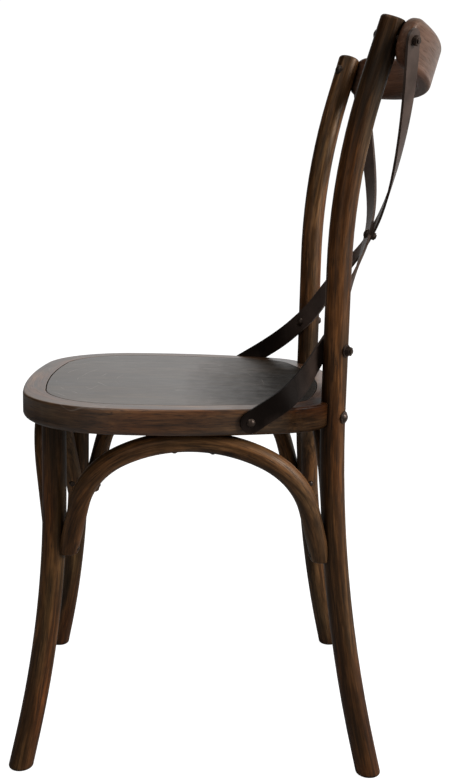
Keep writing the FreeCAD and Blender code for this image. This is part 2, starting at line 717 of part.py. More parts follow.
# Front legs and rear posts, each with a slightly larger copy that clears the scribed fits.
seatTurn = math.radians(size("seatBoltTurn"))
flatFromAxis = postRadius - size("postSeatFlat")
spaces = {}
for word, side in sides.items():
    leg = "front_leg_" + word
    post = "rear_post_" + word
    pieces[leg] = makeLeg(leg, side, 0, "")
    pieces[post] = makePost(post, side, 0, "")
    spaces[leg] = makeLeg(leg + "_space", side, fit, " + Sizes.fitClearance")
    spaces[post] = makePost(post + "_space", side, fit, " + Sizes.fitClearance")

    socket = bore("tenon_socket_" + word, Vector(side * legX, legY, seatBottom - overrun), up,
                  size("tenonDiameter") / 2, "Sizes.tenonDiameter / 2 + Sizes.boreClearance",
                  size("tenonLength") + overrun + fit)
    alsoCut("seat_frame", socket)

    # The ring and the post meet on a flat; past the flat the ring is scribed round the post.
    outward = Vector(side * math.sin(seatTurn), math.cos(seatTurn), 0)
    across = up.cross(outward)
    turned = Rotation(outward, across, up, "ZXY")
    atSeat = postAxis(side, seatTop)
    reach, breadth = size("postDiameter"), 2 * size("postDiameter")
    corner = atSeat - outward * (flatFromAxis + reach) - across * (breadth / 2)
    low = block("post_flat_" + word, Vector(corner.x, corner.y, seatBottom - fit), turned,
                reach, breadth, size("frameThickness") + 2 * fit)
    alsoCut(post, low)
    tall = block("ring_flat_" + word, Vector(corner.x, corner.y, seatBottom - overrun), turned,
                 reach, breadth, size("frameThickness") + 2 * overrun)
    notch = cutAway("ring_notch_" + word, spaces[post], [tall])
    alsoCut("seat_frame", notch)


# Arched braces: a bent round bar in a leaning plane between two legs.
archDrop = size("archTopFlat") - archRadius
apexHeight = seatBottom + archDrop
standOff = legRadius + size("archEndThickness") - archRadius


def archPath(half, height, crown, shoulder):
    lean = math.radians(size("archEndLean"))
    base = half - shoulder / math.cos(lean)
    slope = math.tan(lean)
    drop = height - crown
    a = slope ** 2 + 1
    b = -2 * (base * slope + drop)
    c = base ** 2 + drop ** 2 - (crown - shoulder) ** 2
    centreZ = (-b + math.sqrt(b * b - 4 * a * c)) / (2 * a)
    centreX = base - slope * centreZ
    return Vector(centreX, centreZ, 0), lean


def makeArch(name, first, last, apexPlan, crownAlias, shoulderAlias):
    middle = (first + last) * 0.5
    along = Vector(last - first).normalize()
    half = (last - first).Length / 2 - standOff
    level = Vector(apexPlan - middle)
    level = level - along * level.dot(along)
    rise = Vector(level.x, level.y, apexHeight - middle.z)
    height = rise.Length
    placement = Placement(middle, Rotation(along, Vector(), rise, "ZXY"))
    crown = size(crownAlias)
    shoulder = size(shoulderAlias)
    corner, lean = archPath(half, height, crown, shoulder)
    footDepth = archRadius
    footX = half + footDepth * math.tan(lean)
    crownCentre = Vector(0, height - crown, 0)
    lineEnd = corner + Vector(math.cos(lean), math.sin(lean), 0) * shoulder
    crownEnd = crownCentre + Vector(corner - crownCentre).normalize() * crown
    foot = Vector(footX, -footDepth, 0)

    body = newBody(name)
    path = newSketch(body, name + "_path", "XZ_Plane")
    path.addGeometry(Part.LineSegment(mirrored(foot), mirrored(lineEnd)), False)
    path.addGeometry(arcBetween(mirrored(corner), shoulder, mirrored(crownEnd), mirrored(lineEnd)), False)
    path.addGeometry(arcBetween(crownCentre, crown, crownEnd, mirrored(crownEnd)), False)
    path.addGeometry(arcBetween(corner, shoulder, lineEnd, crownEnd), False)
    path.addGeometry(Part.LineSegment(lineEnd, foot), False)
    for arguments in ((0, 2, 1, 2), (1, 1, 2, 2), (2, 1, 3, 2), (3, 1, 4, 1)):
        constrain(path, "Tangent", *arguments)
    constrain(path, "PointOnObject", 2, 3, -2)
    constrain(path, "DistanceY", 2, 3, crownCentre.y)
    constrain(path, "Radius", 1, shoulder, formula="Sizes." + shoulderAlias)
    constrain(path, "Radius", 2, crown, formula="Sizes." + crownAlias)
    constrain(path, "Radius", 3, shoulder, formula="Sizes." + shoulderAlias)
    constrain(path, "Angle", 0, math.pi / 2 - lean, formula="90 - Sizes.archEndLean")
    constrain(path, "Angle", 4, lean - math.pi / 2, formula="Sizes.archEndLean - 90")
    constrain(path, "DistanceX", 0, 1, -footX)
    constrain(path, "DistanceY", 0, 1, -footDepth)
    constrain(path, "DistanceX", 4, 2, footX)
    constrain(path, "DistanceY", 4, 2, -footDepth)

    tilt = Placement(Vector(-footX, 0, -footDepth), Rotation(Vector(0, 1, 0), size("archEndLean")))
    section = circleSketch(body, name + "_section", tilt, "Sizes.archDiameter / 2", archRadius)
    doc.recompute()
    feature(body, "AdditivePipe", name + "_bent_bar", Profile=(section, [""]),
            Spine=(path, ["Edge%d" % n for n in range(1, 6)]))
    doc.recompute()

    def levelCut(label, worldZ, reversed):
        offset = placement.inverse().multiply(Placement(Vector(middle.x, middle.y, worldZ), Rotation()))
        sketch = newSketch(body, name + label + "_outline", offset=offset)
        sketch.addGeometry(Part.Circle(Vector(0, 0, 0), up, wideCutter), False)
        feature(body, "Pocket", name + label, Profile=sketch, Type=1, Reversed=reversed)
        doc.recompute()

    levelCut("_foot", size("archFoot"), False)
    down = placement.Rotation.inverted().multVec(-up)
    footPoint = placement.inverse().multVec(Vector(middle.x, middle.y, size("archFoot")))
    edges = faceEdges(body.Tip.Shape, flatFace(down, footPoint.dot(down)))
    roundEdges(body, name + "_foot_round", edges, "Sizes.archFootRound")
    levelCut("_seat_flat", seatBottom, True)
    body.Placement = placement
    return body, placement, height, crown


footHeight = size("archFoot")
sideY = (legY + postLine) / 2
sideMiddle = sideSurface(sideY, -size("archUnderRim"))[0]
backMiddle = Vector(0, seatBack - size("archUnderRim"), 0)
frontMiddle = Vector(0, seatFront + size("archUnderRim"), 0)
archPlans = {
    "side_arch_left": (("front_leg_left", "rear_post_left"), sideMiddle, "sideArch"),
    "side_arch_right": (("front_leg_right", "rear_post_right"), mirrored(sideMiddle), "sideArch"),
    "front_arch": (("front_leg_right", "front_leg_left"), frontMiddle, "crossArch"),
    "rear_arch": (("rear_post_right", "rear_post_left"), backMiddle, "crossArch"),
}


def supportAxis(name, height):
    side = sides[name.split("_")[-1]]
    return legAxis(side, height) if name.startswith("front_leg") else postAxis(side, height)


archLegReach = size("archEndThickness") + size("legScrewReach")
archLegPattern = screwPattern("arch_leg_screw", size("screwHeadDiameter"), "Sizes.screwHeadDiameter / 2",
                              archLegReach)
archLegScrews = []
archSeatScrews = []
crownReach = 2 * archRadius - size("archTopFlat") + size("crownScrewReach")
headSink = size("screwHeadSink")
archSeatPattern = screwPattern("arch_seat_screw", size("screwHeadDiameter"),
                               "Sizes.screwHeadDiameter / 2",
                               crownReach)
for name, (supports, apexPlan, family) in archPlans.items():
    ends = [supportAxis(support, footHeight) for support in supports]
    arch, placement, height, crown = makeArch(name, ends[0], ends[1], apexPlan,
                                              family + "Crown", family + "Shoulder")
    pieces[name] = arch
    screwHeight = size(family + "ScrewHeight")
    halfSpan = (ends[1] - ends[0]).Length / 2 - standOff
    upright = placement.Rotation.multVec(up).z
    for index, support in enumerate(supports):
        alsoCut(name, spaces[support])
        climb = (screwHeight - footHeight) / upright
        run = halfSpan - climb * math.tan(math.radians(size("archEndLean")))
        onPath = placement.multVec(Vector(run if index else -run, 0, climb))
        hold = supportAxis(support, screwHeight)
        away = Vector(onPath - hold).normalize()
        head = onPath + away * (archRadius - headSink)
        label = "%s_screw_%d" % (name, index + 1)
        archLegScrews.append(placed(label, archLegPattern, head, away))
        screwBore(label, [name, support], head - away * (archLegReach + fit), away,
                  archLegReach + fit + overrun)
        spotFace(label, name, head, away, "screwHeadDiameter")
    for index, sign in enumerate((-1, 1), start=1):
        offset = sign * size("crownScrewOffset")
        fall = crown - math.sqrt(crown ** 2 - offset ** 2)
        onPath = placement.multVec(Vector(offset, 0, height - fall))
        head = onPath - up * (archRadius - headSink)
        label = "%s_crown_screw_%d" % (name, index)
        archSeatScrews.append(placed(label, archSeatPattern, head, -up))
        screwBore(label, [name, "seat_frame"], head - up * overrun, up, overrun + crownReach + fit)
        spotFace(label, name, head, -up, "screwHeadDiameter")

# Crest rail, notched a little into the posts.
pieces["crest_rail"] = makeCrest()
crestSpace = doc.addObject("Part::Cylinder", "crest_rail_space_outer")
crestCore = doc.addObject("Part::Cylinder", "crest_rail_space_core")
for item, radius in ((crestSpace, "Sizes.crestRadius + Sizes.postDiameter"),
                     (crestCore, "Sizes.crestRadius - Sizes.crestThickness - Sizes.fitClearance")):
    item.setExpression("Radius", radius)
    item.setExpression("Height", "Sizes.crestHeight + 2 * Sizes.fitClearance")
    start = Vector(0, -size("crestRadius"), -size("crestHeight") / 2 - fit)
    item.Placement = crestPlacement.multiply(Placement(start, Rotation()))
crestClear = cutAway("crest_rail_space", crestSpace, [crestCore])
alsoCut("rear_post_left", crestClear)
alsoCut("rear_post_right", crestClear)

# Steel straps: flat bars from the back of the crest rail, crossing, to the far side of the ring.
strapHalf = size("strapThickness") / 2
crossingTilt = math.radians(size("crossingLean"))
crossingNormal = Vector(0, math.cos(crossingTilt), -math.sin(crossingTilt))
crossing = Vector(0, postLine + size("crossingBehindPosts"), size("strapCrossing"))
postTurn = math.radians(size("strapPostTurn"))


def strapStations(side):
    top = postAxis(side, size("crestBoltHeight"))
    topPoint, topNormal = crestSurface(top, strapHalf + fit)
    layer = side * (strapHalf + fit / 2)
    middle = crossing + crossingNormal * layer
    far = -side
    low = Vector(far * size("strapLowOut"), postLine + size("strapLowBehind"), size("strapLowHeight"))
    inward = Vector(-far * math.sin(postTurn), -math.cos(postTurn), 0)
    atPost = postAxis(far, size("strapAtPost")) + inward * (postRadius + strapHalf + fit)

    def onSide(ahead, height, outward):
        point, normal = sideSurface(postLine - ahead, outward)
        return Vector(far * point.x, point.y, height), Vector(far * normal.x, normal.y, 0)

    pastCorner, cornerNormal = onSide(size("strapRimAhead"), seatTop + size("strapRimAboveTop"),
                                      strapHalf + 5 * fit)
    lowEnd, endNormal = onSide(size("strapEndAhead"), seatTop - size("strapEndBelowTop"), strapHalf + fit)

    def within(normal, first, last):
        direction = last - first
        return Vector(direction - normal * direction.dot(normal)).normalize()

    run = size("strapRun")
    topRun = size("strapTopRun")
    slant = math.radians(size("strapTopTurn"))
    leave = crestAxis.cross(topNormal) * (side * math.sin(slant)) - crestAxis * math.cos(slant)
    through = within(crossingNormal, topPoint + leave * topRun, low)
    bendTop = topPoint + leave * topRun
    bendEnd = middle - through * run
    pull = (bendEnd - bendTop).Length * size("strapEase")

    def onBend(share):
        back, rest = share ** 2, 1 - share
        start = bendTop * (1 + 2 * share) * rest ** 2 + leave * (pull * share * rest ** 2)
        return start + bendEnd * (back * (3 - 2 * share)) - through * (pull * back * rest)

    across = within(inward, low, pastCorner)
    arrive = within(endNormal, pastCorner, lowEnd)
    stations = [(topPoint, topNormal), (topPoint + leave * (topRun / 2), topNormal), (bendTop, topNormal),
                (onBend(0.25), None), (onBend(0.5), None), (onBend(0.75), None),
                (bendEnd, crossingNormal), (middle, crossingNormal),
                (middle + through * run, crossingNormal), (low, None),
                (atPost - across * run, -inward), (atPost, -inward), (atPost + across * run, -inward),
                (pastCorner, cornerNormal), (lowEnd - arrive * run, endNormal), (lowEnd, endNormal)]
    return [point for point, normal in stations], [normal for point, normal in stations]


def strapAlong(points, normals):
    line = Part.BSplineCurve()
    line.interpolate(points)
    stations = [(line.parameter(p), n) for p, n in zip(points, normals) if n is not None]
    samples = []
    for index in range(len(points) - 1):
        first, last = line.parameter(points[index]), line.parameter(points[index + 1])
        for step in range(2):
            samples.append(first + (last - first) * step / 2)
    samples.append(line.parameter(points[-1]))
    sections = []
    for value in samples:
        before = max((s for s in stations if s[0] <= value + 1e-9), key=lambda s: s[0])
        after = min((s for s in stations if s[0] >= value - 1e-9), key=lambda s: s[0])
        span = after[0] - before[0]
        share = (value - before[0]) / span if span > 0 else 0
        share = share * share * (3 - 2 * share)
        normal = before[1] * (1 - share) + after[1] * share
        tangent = Vector(line.tangent(value)[0])
        normal = Vector(normal - tangent * normal.dot(tangent)).normalize()
        sections.append((line.value(value), tangent, normal))
    return sections


def makeStrap(name, side):
    points, normals = strapStations(side)
    sections = strapAlong(points, normals)
    outlines = []
    width = size("strapWidth") / 2
    for index, (centre, tangent, normal) in enumerate(sections, start=1):
        across = tangent.cross(normal)
        corners = [centre + across * a + normal * b for a, b in
                   ((-width, -strapHalf), (width, -strapHalf), (width, strapHalf), (-width, strapHalf))]
        outline = doc.addObject("Part::Feature", "%s_section_%02d" % (name, index))
        outline.Shape = Part.makePolygon(corners + corners[:1])
        outlines.append(outline)
    loft = doc.addObject("Part::Loft", name + "_bar")
    loft.Sections = outlines
    loft.Solid = True
    loft.Ruled = False
    ends = []
    for label, (centre, tangent, normal), outwards in (("_top_end", sections[0], -1),
                                                       ("_low_end", sections[-1], 1)):
        end = doc.addObject("Part::Cylinder", name + label)
        end.setExpression("Radius", "Sizes.strapWidth / 2")
        end.setExpression("Height", "Sizes.strapThickness")
        end.Angle = 180
        away = tangent * outwards
        first = away.cross(normal)
        end.Placement = Placement(centre - normal * strapHalf, Rotation(first, Vector(), normal, "ZXY"))
        ends.append(end)
    fused = doc.addObject("Part::MultiFuse", name)
    fused.Refine = False
    fused.Shapes = [loft] + ends
    doc.recompute()
    return fused, sections


crestBolts, crestNuts = [], []
strapBolts, strapNuts, strapWashers = [], [], []
seatBolts, seatWashers, strapScrews = [], [], []
nutHeight = size("nutHeight")
beyondNut = size("beyondNut")
washerHeight = size("washerThickness")
strapFull = size("strapThickness")

top = postAxis(1, size("crestBoltHeight"))
crestGrip = (crestSurface(top)[0] - top).Length + postRadius - spotDepth
crestGrip += fit + strapFull + touch
crestPattern = boltPattern("crest_bolt", crestGrip + nutHeight + beyondNut)
postGrip = 2 * postRadius + fit + strapFull + touch - spotDepth
postPattern = boltPattern("strap_post_bolt", postGrip + washerHeight + nutHeight + beyondNut)
seatGrip = postRadius - spotDepth + washerHeight
seatPattern = boltPattern("seat_bolt", seatGrip + flatFromAxis + size("seatBoltReach"))
centreGrip = 2 * (strapFull + touch) + fit
centrePattern = boltPattern("strap_centre", centreGrip + nutHeight + beyondNut)
strapScrewPattern = screwPattern("strap_end_screw", size("strapScrewHead"), "Sizes.strapScrewHead / 2",
                                 fit + strapFull + size("strapScrewReach"))

for word, side in sides.items():
    post = "rear_post_" + word
    strap = "back_strap_" + word
    farWord = "right" if word == "left" else "left"
    farStrap = "back_strap_" + farWord
    pieces[strap], sections = makeStrap(strap, side)

    # through the post's top, the crest rail and the strap's top end
    top = postAxis(side, size("crestBoltHeight"))
    back, normal = crestSurface(top)
    head = top - normal * (postRadius - spotDepth)
    crestBolts.append(placed("crest_bolt_" + word, crestPattern, head, -normal))
    seat = back + normal * (fit + strapFull + touch)
    crestNuts.append(placed("crest_nut_" + word, nutPattern, seat, normal))
    boltBore("crest_bore_" + word, [post, "crest_rail", strap], head - normal * overrun, normal,
             crestGrip + 2 * overrun)
    spotFace("crest_bolt_" + word, post, head, -normal, "boltHeadDiameter")

    # through the far strap and this post
    inward = Vector(-side * math.sin(postTurn), -math.cos(postTurn), 0)
    axis = postAxis(side, size("strapAtPost"))
    head = axis + inward * (postRadius + fit + strapFull + touch)
    strapBolts.append(placed("strap_post_bolt_" + word, postPattern, head, inward))
    seat = axis - inward * (postRadius - spotDepth)
    strapWashers.append(placed("strap_post_washer_" + word, washerPattern, seat, -inward))
    strapNuts.append(placed("strap_post_nut_" + word, nutPattern, seat - inward * washerHeight, -inward))
    boltBore("strap_post_bore_" + word, [post, farStrap], head + inward * overrun, -inward,
             postGrip + 2 * overrun)
    spotFace("strap_post_" + word, post, seat, -inward, "washerDiameter")

    # through this post into the ring
    outward = Vector(side * math.sin(seatTurn), math.cos(seatTurn), 0)
    axis = postAxis(side, seatTop - size("seatBoltBelowTop"))
    seat = axis + outward * (postRadius - spotDepth)
    seatWashers.append(placed("seat_washer_" + word, washerPattern, seat, outward))
    head = seat + outward * washerHeight
    seatBolts.append(placed("seat_bolt_" + word, seatPattern, head, outward))
    boltBore("seat_bore_" + word, [post, "seat_frame"], head + outward * overrun, -outward,
             overrun + seatGrip + flatFromAxis + size("seatBoltReach") + fit)
    spotFace("seat_washer_" + word, post, seat, outward, "washerDiameter")

    # through the strap's low end into the ring, on the far side
    centre, tangent, normal = sections[-1]
    head = centre + normal * (strapHalf + touch)
    strapScrews.append(placed("strap_end_screw_" + farWord, strapScrewPattern, head, normal))
    screwBore("strap_end_" + word, [strap, "seat_frame"], head + normal * overrun, -normal,
              overrun + 2 * fit + strapFull + size("strapScrewReach"))

# the bolt through the crossing
head = crossing - crossingNormal * (centreGrip / 2)
centreBolt = placed("strap_centre_bolt", centrePattern, head, -crossingNormal)
seat = crossing + crossingNormal * (centreGrip / 2)
centreNut = placed("strap_centre_nut", nutPattern, seat, crossingNormal)
boltBore("strap_centre_bore", ["back_strap_left", "back_strap_right"], head - crossingNormal * overrun,
         crossingNormal, centreGrip + 2 * overrun)

finished = {}
for name, base in pieces.items():
    finished[name] = cutAway(name, base, tools.get(name, []))
finished["strap_centre_bolt"] = centreBolt
finished["strap_centre_nut"] = centreNut
for name, items in (("crest_bolts", crestBolts), ("crest_bolt_nuts", crestNuts),
                    ("post_strap_bolts", strapBolts), ("post_strap_nuts", strapNuts),
                    ("post_strap_washers", strapWashers), ("seat_bolts", seatBolts),
                    ("seat_bolt_washers", seatWashers), ("strap_end_screws", strapScrews),
                    ("arch_leg_screws", archLegScrews), ("arch_seat_screws", archSeatScrews)):
    finished[name] = group(name, items)
doc.recompute()

# Every object must be sound before anything is written.
for item in doc.Objects:
    state = [word for word in item.State if word in ("Invalid", "Error")]
    if state:
        raise RuntimeError("%s is not sound: %s" % (item.Name, state))
for name, item in finished.items():
    if item.Shape.isNull() or not item.Shape.isValid() or not item.Shape.Solids:
        raise RuntimeError("%s has no valid shape" % name)

os.makedirs("parts", exist_ok=True)
for name, item in finished.items():
    item.Shape.exportStep("parts/%s.step" % name)
    box = item.Shape.BoundBox
    print("%-20s solids %2d  volume %9.0f  x %7.1f %7.1f  y %7.1f %7.1f  z %6.1f %6.1f" % (
        name, len(item.Shape.Solids), item.Shape.Volume, box.XMin, box.XMax, box.YMin, box.YMax,
        box.ZMin, box.ZMax))
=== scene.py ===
import bpy
import math
from mathutils import Matrix, Vector

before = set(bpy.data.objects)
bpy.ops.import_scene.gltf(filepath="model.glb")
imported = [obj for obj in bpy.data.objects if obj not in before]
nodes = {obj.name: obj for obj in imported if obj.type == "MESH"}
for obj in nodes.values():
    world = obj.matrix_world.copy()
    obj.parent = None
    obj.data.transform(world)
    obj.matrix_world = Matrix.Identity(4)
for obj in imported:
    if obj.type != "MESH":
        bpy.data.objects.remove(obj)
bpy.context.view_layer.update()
print("chair loaded:", len(nodes), "nodes")


# short ways to lay out shader nodes

def plug(tree, value, socket):
    if isinstance(value, bpy.types.NodeSocket):
        tree.links.new(value, socket)
    else:
        socket.default_value = value


def addNode(tree, kind, settings=None, inputs=None):
    node = tree.nodes.new("ShaderNode" + kind)
    for key, value in (settings or {}).items():
        setattr(node, key, value)
    for key, value in (inputs or {}).items():
        plug(tree, value, node.inputs[key])
    return node


def calc(tree, operation, *values, clamp=False):
    node = addNode(tree, "Math", {"operation": operation, "use_clamp": clamp})
    for index, value in enumerate(values):
        plug(tree, value, node.inputs[index])
    return node.outputs[0]


def vectorCalc(tree, operation, *values):
    node = addNode(tree, "VectorMath", {"operation": operation})
    for index, value in enumerate(values):
        plug(tree, value, node.inputs["Scale" if operation == "SCALE" and index else index])
    return node.outputs["Value" if operation in ("DOT_PRODUCT", "LENGTH") else "Vector"]


def remap(tree, value, low, high, toLow=0.0, toHigh=1.0):
    node = addNode(tree, "MapRange", {"clamp": True}, {
        "Value": value, "From Min": low, "From Max": high, "To Min": toLow, "To Max": toHigh})
    return node.outputs["Result"]


def evenNoise(tree, vector, scale, detail, rough=0.5, warp=0.0):
    node = addNode(tree, "TexNoise", {}, {
        "Vector": vector, "Scale": scale, "Detail": detail, "Roughness": rough, "Distortion": warp})
    return node.outputs[0]


# noise with its own scale in x, y and z
def noise(tree, vector, stretch, detail, rough, warp=0.0):
    return evenNoise(tree, vectorCalc(tree, "MULTIPLY", vector, stretch), 1.0, detail, rough, warp)


def blend(tree, factor, first, second, kind="MIX"):
    node = addNode(tree, "Mix", {"data_type": "RGBA", "blend_type": kind})
    plug(tree, factor, node.inputs[0])
    for index, value in ((6, first), (7, second)):  # the Mix node's two colour sockets
        if not isinstance(value, bpy.types.NodeSocket):
            value = (*value, 1.0)
        plug(tree, value, node.inputs[index])
    return node.outputs[2]


def ramp(tree, factor, stops):
    node = addNode(tree, "ValToRGB", {}, {"Fac": factor})
    marks = node.color_ramp.elements
    while len(marks) < len(stops):
        marks.new(0.5)
    for mark, (place, colour) in zip(marks, stops):
        mark.position = place
        mark.color = (*colour, 1.0)
    return node.outputs["Color"]


def objectPlace(tree):
    return addNode(tree, "TexCoord").outputs["Object"]


def newGroup(name, inputs, outputs):
    tree = bpy.data.node_groups.new(name, "ShaderNodeTree")
    for way, sockets in (("INPUT", inputs), ("OUTPUT", outputs)):
        for label, kind in sockets:
            tree.interface.new_socket(label, in_out=way, socket_type="NodeSocket" + kind)
    return tree, tree.nodes.new("NodeGroupInput").outputs, tree.nodes.new("NodeGroupOutput").inputs


def useGroup(tree, group, inputs):
    node = tree.nodes.new("ShaderNodeGroup")
    node.node_tree = group
    for key, value in inputs.items():
        plug(tree, value, node.inputs[key])
    return node.outputs


# grain that follows a bent bar: across and through the bar in x and y, along it in z
def makeBendGrain():
    tree, given, out = newGroup("bendGrain", [
        ("Centre", "Vector"), ("Along", "Vector"), ("Rise", "Vector"), ("Half Span", "Float"),
        ("Rise Length", "Float"), ("Squareness", "Float")], [("Grain", "Vector")])
    place = vectorCalc(tree, "SUBTRACT", objectPlace(tree), given["Centre"])
    run = calc(tree, "DIVIDE", vectorCalc(tree, "DOT_PRODUCT", place, given["Along"]), given["Half Span"])
    lift = calc(tree, "DIVIDE", vectorCalc(tree, "DOT_PRODUCT", place, given["Rise"]),
                given["Rise Length"])
    side = vectorCalc(tree, "CROSS_PRODUCT", given["Along"], given["Rise"])
    depth = vectorCalc(tree, "DOT_PRODUCT", place, side)
    powers = [calc(tree, "POWER", calc(tree, "ABSOLUTE", share), given["Squareness"])
              for share in (run, lift)]
    reach = calc(tree, "POWER", calc(tree, "ADD", *powers), calc(tree, "DIVIDE", 1.0, given["Squareness"]))
    mean = calc(tree, "MULTIPLY", calc(tree, "ADD", given["Half Span"], given["Rise Length"]), 0.5)
    along = calc(tree, "MULTIPLY", calc(tree, "ARCTAN2", lift, run), mean)
    across = calc(tree, "MULTIPLY", reach, mean)
    grain = addNode(tree, "CombineXYZ", {}, {"X": across, "Y": depth, "Z": along})
    plug(tree, grain.outputs[0], out["Grain"])
    return tree


# straightens one bend of an upright bar, so that the grain runs along it
def makeStraighten():
    tree, given, out = newGroup("straighten", [
        ("Place", "Vector"), ("Start", "Float"), ("Turn", "Float"), ("Radius", "Float"),
        ("Limit", "Float"), ("Slope", "Float"), ("Towards", "Vector")], [("Place", "Vector")])
    height = addNode(tree, "SeparateXYZ", {}, {"Vector": given["Place"]}).outputs["Z"]
    beyond = calc(tree, "MULTIPLY", calc(tree, "SUBTRACT", height, given["Start"]), given["Turn"])
    beyond = calc(tree, "MAXIMUM", beyond, 0.0)
    curved = calc(tree, "MINIMUM", beyond, given["Limit"])
    onArc = calc(tree, "DIVIDE", calc(tree, "MULTIPLY", curved, curved),
                 calc(tree, "MULTIPLY", given["Radius"], 2.0))
    onStraight = calc(tree, "MULTIPLY", calc(tree, "SUBTRACT", beyond, curved), given["Slope"])
    shift = vectorCalc(tree, "SCALE", given["Towards"], calc(tree, "ADD", onArc, onStraight))
    plug(tree, vectorCalc(tree, "SUBTRACT", given["Place"], shift), out["Place"])
    return tree


# layers of the wood's figure: scale across, through and along the grain, detail, roughness, warp
figureLayers = {
    "broad": ((46, 46, 3), 2, 0.5, 0.3),
    "medium": ((190, 190, 14), 4, 0.7, 0.4),
    "fine": ((560, 560, 30), 3, 0.7),
    "pores": ((820, 820, 36), 2, 0.6),
    "blotch": ((34, 34, 7), 4, 0.62),
    "warmth": ((26, 26, 5), 2, 0.5),
}
figure = {
    "rings": 34.0,  # how fast the growth rings follow the broad layer
    "ringShare": 0.12, "mediumShare": 0.56, "fineShare": 0.48,
    "contrast": (0.34, 0.78), "poreRange": (0.55, 0.68), "ringFull": 0.8, "poresOffRings": 0.35,
    "blotchRange": (0.3, 0.68), "warmthRange": (0.34, 0.64), "warmthShift": (3.1, 7.7, 1.9),
    "poreHeight": -0.8, "fineHeight": 0.35,
}


# open-grained wood under a dark stain
def makeStainedWood():
    tree, given, out = newGroup("stainedWood", [("Grain", "Vector"), ("Seed", "Vector")], [
        ("Figure", "Float"), ("Pores", "Float"), ("Blotch", "Float"), ("Warmth", "Float"),
        ("Height", "Float")])
    grain = vectorCalc(tree, "ADD", given["Grain"], given["Seed"])
    broad = noise(tree, grain, *figureLayers["broad"])
    rings = calc(tree, "SINE", calc(tree, "MULTIPLY", broad, figure["rings"]))
    rings = calc(tree, "MULTIPLY_ADD", rings, 0.5, 0.5)
    medium = noise(tree, grain, *figureLayers["medium"])
    fine = noise(tree, grain, *figureLayers["fine"])
    drawn = calc(tree, "MULTIPLY_ADD", rings, figure["ringShare"],
                 calc(tree, "MULTIPLY", medium, figure["mediumShare"]))
    drawn = calc(tree, "MULTIPLY_ADD", fine, figure["fineShare"], drawn)
    onRings = remap(tree, rings, 0.0, figure["ringFull"], figure["poresOffRings"], 1.0)
    pores = remap(tree, noise(tree, grain, *figureLayers["pores"]), *figure["poreRange"])
    pores = calc(tree, "MULTIPLY", pores, onRings)
    blotch = noise(tree, grain, *figureLayers["blotch"])
    elsewhere = vectorCalc(tree, "ADD", grain, figure["warmthShift"])
    warmth = noise(tree, elsewhere, *figureLayers["warmth"])
    height = calc(tree, "MULTIPLY_ADD", pores, figure["poreHeight"],
                  calc(tree, "MULTIPLY", fine, figure["fineHeight"]))
    plug(tree, remap(tree, drawn, *figure["contrast"]), out["Figure"])
    plug(tree, pores, out["Pores"])
    plug(tree, remap(tree, blotch, *figure["blotchRange"]), out["Blotch"])
    plug(tree, remap(tree, warmth, *figure["warmthRange"]), out["Warmth"])
    plug(tree, height, out["Height"])
    return tree


edgeRub = {"samples": 6, "edgeRange": (0.015, 0.16), "gritRange": (0.42, 0.66), "gritDetail": 4.0}


# where an edge has been rubbed
def makeEdgeWear():
    tree, given, out = newGroup("edgeWear", [("Width", "Float"), ("Grit", "Float")], [("Wear", "Float")])
    soft = addNode(tree, "Bevel", {"samples": edgeRub["samples"]}, {"Radius": given["Width"]}).outputs[0]
    flat = addNode(tree, "NewGeometry").outputs["Normal"]
    edge = calc(tree, "SUBTRACT", 1.0, vectorCalc(tree, "DOT_PRODUCT", soft, flat))
    grit = evenNoise(tree, objectPlace(tree), given["Grit"], edgeRub["gritDetail"])
    worn = calc(tree, "MULTIPLY", remap(tree, edge, *edgeRub["edgeRange"]),
                remap(tree, grit, *edgeRub["gritRange"]))
    plug(tree, worn, out["Wear"])
    return tree


corners = {"samples": 6, "openRange": (0.25, 0.85), "darkest": 0.3}


# painted shade: the colour is darkened where two pieces meet and in crevices
def makePaintedCornerShade():
    tree, given, out = newGroup("paintedCornerShade", [("Reach", "Float")], [("Shade", "Float")])
    openness = addNode(tree, "AmbientOcclusion", {"samples": corners["samples"]},
                       {"Distance": given["Reach"]}).outputs["AO"]
    plug(tree, remap(tree, openness, *corners["openRange"], corners["darkest"], 1.0), out["Shade"])
    return tree


# the noises here are scale, detail and roughness
scratchLines = {"detail": 1.0, "warp": 0.6, "width": 0.006, "where": (21.0, 3.0, 0.5),
                "whereRange": (0.54, 0.66), "rub": (9.0, 5.0, 0.65), "rubRange": (0.4, 0.7)}


# thin curved scratches and faint rubbed patches
def makeScuffs():
    tree, given, out = newGroup("scuffs", [("Scale", "Float")], [
        ("Scratches", "Float"), ("Rubbed", "Float")])
    place = objectPlace(tree)
    flow = evenNoise(tree, place, given["Scale"], scratchLines["detail"], warp=scratchLines["warp"])
    line = calc(tree, "ABSOLUTE", calc(tree, "SUBTRACT", flow, 0.5))
    line = remap(tree, line, 0.0, scratchLines["width"], 1.0, 0.0)
    where = evenNoise(tree, place, *scratchLines["where"])
    scratches = calc(tree, "MULTIPLY", line, remap(tree, where, *scratchLines["whereRange"]))
    rubbed = evenNoise(tree, place, *scratchLines["rub"])
    plug(tree, scratches, out["Scratches"])
    plug(tree, remap(tree, rubbed, *scratchLines["rubRange"]), out["Rubbed"])
    return tree


patchEdge = {"noise": ((60, 60, 22), 4, 0.6), "full": 0.35, "gone": 1.05}  # in shares of the size
